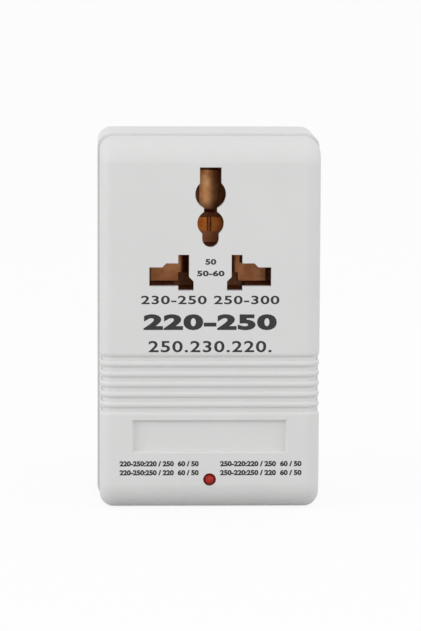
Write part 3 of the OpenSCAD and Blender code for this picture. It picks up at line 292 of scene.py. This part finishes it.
def wound(name, colour, pitch):
    """Turns of enamelled wire beside each other."""
    finish, tree, shader = new_finish(name)
    where = place(tree)
    turns = bands(tree, where, pitch, "Z", 0.6)
    tree.links.new(blend_colours(tree, turns, [(0.0, shade(colour, 0.3)), (0.6, colour)]),
                   shader.inputs["Base Color"])
    tree.links.new(between(tree, noise(tree, where, 2 * MM), 0.22, 0.34), shader.inputs["Roughness"])
    tree.links.new(relief(tree, turns, 0.1 * MM), shader.inputs["Normal"])
    shader.inputs["Metallic"].default_value = 1.0
    return finish


def taped(name, colour):
    """Film tape over a winding, which shows faintly through it."""
    finish, tree, shader = new_finish(name)
    where = place(tree)
    turns = bands(tree, where, 0.5 * MM, "Z", 0.5)
    tree.links.new(blend_colours(tree, turns, [(0.0, shade(colour, 0.8)), (1.0, colour)]),
                   shader.inputs["Base Color"])
    tree.links.new(between(tree, noise(tree, where, 3 * MM), 0.2, 0.35), shader.inputs["Roughness"])
    tree.links.new(relief(tree, turns, 0.03 * MM), shader.inputs["Normal"])
    return finish


def paper_board(name, colour):
    """Paper laminate circuit board, with its fibres."""
    finish, tree, shader = new_finish(name)
    fibres = noise(tree, place(tree, scale=(0.2, 1.0, 1.0)), 0.3 * MM, 4.0)
    tree.links.new(blend_colours(tree, fibres, [(0.3, shade(colour, 0.8)), (0.7, shade(colour, 1.1))]),
                   shader.inputs["Base Color"])
    tree.links.new(between(tree, fibres, 0.5, 0.65), shader.inputs["Roughness"])
    tree.links.new(relief(tree, fibres, 0.01 * MM), shader.inputs["Normal"])
    return finish


def ringed(name, colour, ring_colour, pitch):
    """A lacquered resistor body with painted rings."""
    finish, tree, shader = new_finish(name)
    where = place(tree)
    rings = bands(tree, where, pitch, "X")
    tree.links.new(blend_colours(tree, rings, [(0.75, colour), (0.85, ring_colour)]),
                   shader.inputs["Base Color"])
    tree.links.new(between(tree, noise(tree, where, 0.5 * MM), 0.3, 0.45), shader.inputs["Roughness"])
    return finish


def clear_glass(name):
    """The fuse's glass tube."""
    finish, tree, shader = new_finish(name)
    swirl = noise(tree, place(tree), 2 * MM, 2.0)
    tree.links.new(between(tree, swirl, 0.02, 0.08), shader.inputs["Roughness"])
    shader.inputs["Base Color"].default_value = (0.9, 0.95, 0.95, 1.0)
    shader.inputs["Transmission Weight"].default_value = 1.0
    shader.inputs["IOR"].default_value = 1.5
    return finish


def epoxy_with_painted_light(name, centre):
    """The lamp's red epoxy: a painted bright mottled middle of light seen through it, inside a painted dark
    rim of shade.
    """
    finish, tree, shader = new_finish(name)
    reach = 1.0 / (2.1 * MM)
    where = place(tree, scale=(reach, 0.25 * reach, reach),
                  shift=(-centre.x * reach, -centre.y * 0.25 * reach, -centre.z * reach))
    # Painted light in the middle and painted shade at the rim, spreading out from the lamp's centre
    glow = tree.nodes.new("ShaderNodeTexGradient")
    glow.gradient_type = "SPHERICAL"
    tree.links.new(where, glow.inputs["Vector"])
    mottle = noise(tree, place(tree), 0.5 * MM, 3.0)
    joined = tree.nodes.new("ShaderNodeMath")
    joined.operation = "MULTIPLY"
    tree.links.new(glow.outputs["Fac"], joined.inputs[0])
    tree.links.new(between(tree, mottle, 0.5, 1.5), joined.inputs[1])
    tree.links.new(blend_colours(tree, joined.outputs["Value"],
                                 [(0.1, (0.1, 0.006, 0.008)), (0.26, (0.18, 0.006, 0.007)),
                                  (0.4, (0.42, 0.007, 0.004)), (0.85, (0.43, 0.02, 0.008))]),
                   shader.inputs["Base Color"])
    tree.links.new(between(tree, mottle, 0.12, 0.25), shader.inputs["Roughness"])
    shader.inputs["IOR"].default_value = 1.55
    shader.inputs["Specular IOR Level"].default_value = 0.25
    return finish


def printed_ink(name):
    """Dark grey pad-printing ink."""
    finish, tree, shader = new_finish(name)
    where = place(tree)
    grain = noise(tree, where, 0.15 * MM)
    tree.links.new(blend_colours(tree, grain, [(0.3, (0.026, 0.026, 0.028)), (0.7, (0.042, 0.042, 0.044))]),
                   shader.inputs["Base Color"])
    tree.links.new(between(tree, grain, 0.45, 0.6), shader.inputs["Roughness"])
    shader.inputs["Specular IOR Level"].default_value = 0.25
    return finish


def make_finishes():
    """One finish for each of the record's material slots."""
    lamp_low, lamp_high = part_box("lamp")
    lamp_middle = (lamp_low + lamp_high) / 2
    return {
        "white_case": moulded("white_case", (0.745, 0.745, 0.74), 0.45, spread=0.012),
        "grey_rotor": moulded("grey_rotor", (0.62, 0.62, 0.61), 0.45),
        "zinc_steel": sheet_metal("zinc_steel", (0.5, 0.51, 0.54), (0.66, 0.67, 0.69), 0.32),
        "brown_phenolic": moulded("brown_phenolic", (0.46, 0.185, 0.085), 0.6, spread=0.25, flow=1.5 * MM,
                                  gloss=0.15),
        # The contacts' bronze carries painted shade and painted orange bounce light by height
        "contact_bronze": bronze_with_painted_light_and_shade("contact_bronze", (0.7, 0.29, 0.095), (0.95, 0.53, 0.25), 0.4),
        "yellow_brass": sheet_metal("yellow_brass", (0.5, 0.36, 0.15), (0.72, 0.55, 0.26), 0.28),
        "red_epoxy": epoxy_with_painted_light("red_epoxy", lamp_middle),
        "tinned_metal": sheet_metal("tinned_metal", (0.6, 0.6, 0.58), (0.76, 0.76, 0.73), 0.34),
        "tan_board": paper_board("tan_board", (0.36, 0.2, 0.07)),
        "tan_resistor": ringed("tan_resistor", (0.57, 0.42, 0.22), (0.25, 0.06, 0.03), 1.6 * MM),
        "lamination": laminated("lamination", (0.2, 0.2, 0.21)),
        "cream_nylon": moulded("cream_nylon", (0.72, 0.68, 0.55), 0.4),
        "copper_wire": wound("copper_wire", (0.7, 0.3, 0.12), 0.5 * MM),
        "yellow_tape": taped("yellow_tape", (0.74, 0.55, 0.1)),
        "pale_metal": sheet_metal("pale_metal", (0.6, 0.58, 0.52), (0.75, 0.73, 0.67), 0.36),
        "fuse_glass": clear_glass("fuse_glass"),
        "black_nylon": moulded("black_nylon", (0.018, 0.018, 0.02), 0.45, spread=0.1),
        "red_nylon": moulded("red_nylon", (0.45, 0.02, 0.014), 0.38, spread=0.06),
        "nickel_blade": sheet_metal("nickel_blade", (0.58, 0.54, 0.46), (0.74, 0.7, 0.62), 0.24,
                                    stretch=(1.0, 1.0, 0.08)),
        "black_wire": insulated("black_wire", (0.012, 0.012, 0.014)),
        "red_wire": insulated("red_wire", (0.35, 0.012, 0.01)),
        "blue_wire": insulated("blue_wire", (0.012, 0.03, 0.24)),
        "yellow_wire": insulated("yellow_wire", (0.4, 0.36, 0.03)),
        "grey_wire": insulated("grey_wire", (0.3, 0.3, 0.3)),
    }


def dress_nodes(finishes):
    """Gives each CAD node the finish of its slot."""
    for part in frame["record"]["subparts"]:
        slots = frame["nodes"][part["node"]].data.materials
        for number in range(len(slots)):
            slots[number] = finishes[part["material_slot"]]


# Printed marks

def printed_line(name, words, centre, width, height, turn=(90.0, 0.0, 0.0), weight=0.0, spread=1.0):
    """A line of numbers printed on a face, drawn out to the given width and height."""
    bpy.ops.object.select_all(action="DESELECT")
    bpy.ops.object.text_add()
    line = bpy.context.object
    line.name = name
    line.data.body = words
    line.data.offset = weight
    line.data.space_character = spread
    line.data.resolution_u = 4
    line.data.extrude = 0.1
    bpy.ops.object.convert(target="MESH")
    corners = [Vector(corner) for corner in line.bound_box]
    low = Vector([min(corner[axis] for corner in corners) for axis in range(3)])
    high = Vector([max(corner[axis] for corner in corners) for axis in range(3)])
    line.location = -(low + high) / 2
    bpy.ops.object.transform_apply(location=True, rotation=False, scale=False)
    thick = INK_PROUD + INK_SUNK
    line.scale = (width / (high.x - low.x), height / (high.y - low.y), thick / (high.z - low.z))
    bpy.ops.object.transform_apply(location=False, rotation=False, scale=True)
    line.rotation_euler = [math.radians(angle) for angle in turn]
    line.location = centre
    bpy.ops.object.transform_apply(location=True, rotation=True, scale=False)
    bpy.ops.object.mode_set(mode="EDIT")
    bpy.ops.mesh.select_all(action="SELECT")
    bpy.ops.mesh.remove_doubles(threshold=0.002 * MM)
    bpy.ops.mesh.normals_make_consistent(inside=False)
    bpy.ops.object.mode_set(mode="OBJECT")
    return line


def front_line(name, words, middle_x, low_z, high_z, width, weight=0.0, spread=1.0):
    """A printed line on the front face, placed in millimetres."""
    depth = cad_low.y - (INK_PROUD - INK_SUNK) / 2
    centre = Vector((middle_x * MM, depth, (low_z + high_z) / 2 * MM))
    return printed_line(name, words, centre, width * MM, (high_z - low_z) * MM, weight=weight, spread=spread)


def small_line(name, words, middle_x, low_z, width):
    """A line of the small print below the label recess."""
    return front_line(name, words, middle_x, low_z, low_z + SMALL_PRINT, width, SMALL_WEIGHT)


def side_line(name, words, low_z):
    """A number on the right side of the rear cover, in line with the selector."""
    depth = cad_high.x + (INK_PROUD - INK_SUNK) / 2
    selector_low, selector_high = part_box("selector_case")
    middle_y = (selector_low.y + selector_high.y) / 2
    centre = Vector((depth, middle_y, (low_z + SIDE_PRINT / 2) * MM))
    return printed_line(name, words, centre, SIDE_WIDTH * MM, SIDE_PRINT * MM, (90.0, 0.0, 90.0), 0.01)


def ride_case(lines, ink):
    """Gives printed lines their ink and fixes them to the case."""
    for line in lines:
        line.data.materials.append(ink)
        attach(line, "case")


def add_side_print(ink):
    """A number for each end of the selector's travel."""
    ride_case([
        side_line("selector_number_up", "230", 71.6),
        side_line("selector_number_down", "220", 54.4),
    ], ink)


def add_front_print(ink):
    """Plain mains numbers in the places where a converter's front is printed."""
    ride_case([
        front_line("front_numbers_outlet_high", "50", 0.1, 60.0, 61.4, 2.6, 0.042, 1.05),
        front_line("front_numbers_outlet_low", "50-60", 0.1, 57.2, 58.6, 6.6, 0.042, 1.05),
        front_line("front_numbers_range", "230-250 250-300", 0.0, 50.4, 52.5, 33.4, 0.022, 1.1),
        front_line("front_numbers_large", "220-250", 0.0, 44.1, 48.0, 32.2, 0.052, 1.1),
        front_line("front_numbers_rate", "250.230.220.", 0.0, 38.7, 41.5, 29.8, 0.018, 1.1),
        small_line("front_numbers_left_high", "220-250:220 / 250  60 / 50", -12.25, 10.75, 19.2),
        small_line("front_numbers_left_low", "220-250:250 / 220  60 / 50", -12.25, 8.55, 19.2),
        small_line("front_numbers_right_high", "250-220:220 / 250  60 / 50", 12.45, 10.75, 19.8),
        small_line("front_numbers_right_low", "250-220:250 / 220  60 / 50", 12.45, 8.55, 19.8),
    ], ink)


# Stage, light and camera

def backdrop_share(tree):
    """How much of the white backdrop a ray sees: all that looks, mirrors or shines through."""
    path = tree.nodes.new("ShaderNodeLightPath")
    first = tree.nodes.new("ShaderNodeMath")
    first.operation = "MAXIMUM"
    second = tree.nodes.new("ShaderNodeMath")
    second.operation = "MAXIMUM"
    tree.links.new(path.outputs["Is Camera Ray"], first.inputs[0])
    tree.links.new(path.outputs["Is Glossy Ray"], first.inputs[1])
    tree.links.new(first.outputs["Value"], second.inputs[0])
    tree.links.new(path.outputs["Is Transmission Ray"], second.inputs[1])
    return second.outputs["Value"]


def add_floor():
    """A pale floor that is almost white to the eye and keeps a soft shadow."""
    bpy.ops.object.select_all(action="DESELECT")
    bpy.ops.mesh.primitive_plane_add(size=FLOOR_SIZE)
    floor = bpy.context.object
    floor.name = "studio_floor"
    finish = bpy.data.materials.new("studio_floor")
    finish.use_nodes = True
    tree = finish.node_tree
    tree.nodes.clear()
    output = tree.nodes.new("ShaderNodeOutputMaterial")
    paint = tree.nodes.new("ShaderNodeBsdfDiffuse")
    white = tree.nodes.new("ShaderNodeEmission")
    seen = backdrop_share(tree)
    tree.links.new(between(tree, seen, FLOOR_BOUNCE, FLOOR_SEEN, 0.0, 1.0), paint.inputs["Color"])
    share = tree.nodes.new("ShaderNodeMath")
    share.operation = "MULTIPLY"
    share.inputs[1].default_value = FLOOR_WHITE
    tree.links.new(seen, share.inputs[0])
    mix = tree.nodes.new("ShaderNodeMixShader")
    tree.links.new(share.outputs["Value"], mix.inputs["Fac"])
    tree.links.new(paint.outputs["BSDF"], mix.inputs[1])
    tree.links.new(white.outputs["Emission"], mix.inputs[2])
    tree.links.new(mix.outputs["Shader"], output.inputs["Surface"])
    floor.data.materials.append(finish)


def add_world():
    """A white room: soft light from all round, and plain white where it is seen."""
    world = bpy.data.worlds.new("white_room")
    bpy.context.scene.world = world
    world.use_nodes = True
    tree = world.node_tree
    tree.nodes.clear()
    output = tree.nodes.new("ShaderNodeOutputWorld")
    room = tree.nodes.new("ShaderNodeBackground")
    room.inputs["Strength"].default_value = ROOM_LIGHT
    seen = tree.nodes.new("ShaderNodeBackground")
    seen.inputs["Color"].default_value = (1.0, 1.0, 1.0, 1.0)
    room.inputs["Color"].default_value = (1.0, 1.0, 1.0, 1.0)
    mix = tree.nodes.new("ShaderNodeMixShader")
    tree.links.new(backdrop_share(tree), mix.inputs["Fac"])
    tree.links.new(room.outputs["Background"], mix.inputs[1])
    tree.links.new(seen.outputs["Background"], mix.inputs[2])
    tree.links.new(mix.outputs["Shader"], output.inputs["Surface"])


def add_softbox(name, where, aim, size, power):
    """A square soft light aimed at a point."""
    lamp = bpy.data.lights.new(name, "AREA")
    lamp.size = size
    lamp.energy = power
    box = bpy.data.objects.new(name, lamp)
    bpy.context.scene.collection.objects.link(box)
    box.location = where
    box.rotation_euler = (Vector(aim) - Vector(where)).to_track_quat("-Z", "Y").to_euler()


def add_camera():
    """The photograph's view."""
    camera = bpy.data.objects.new("camera", bpy.data.cameras.new("camera"))
    bpy.context.scene.collection.objects.link(camera)
    camera.data.sensor_width = CAMERA_SENSOR
    camera.data.lens = CAMERA_LENS
    look = (CAMERA_AIM - CAMERA_PLACE).to_track_quat("-Z", "Y").to_matrix().to_4x4()
    camera.matrix_world = Matrix.Translation(CAMERA_PLACE) @ look @ Matrix.Rotation(CAMERA_ROLL, 4, "Z")
    bpy.context.scene.camera = camera


bpy.context.scene.view_settings.view_transform = "Standard"
add_camera()
add_floor()
add_world()
MIDDLE = (cad_low + cad_high) / 2
add_softbox("front_light", (0.09, -1.2, 0.28), MIDDLE, 0.22, 1.0)
add_softbox("left_light", (-0.85, -0.4, 0.3), MIDDLE, 0.5, 2.25)
add_softbox("right_light", (0.85, -0.4, 0.3), MIDDLE, 0.5, 1.25)
dress_nodes(make_finishes())
INK = printed_ink("dark_ink")
add_front_print(INK)
add_side_print(INK)
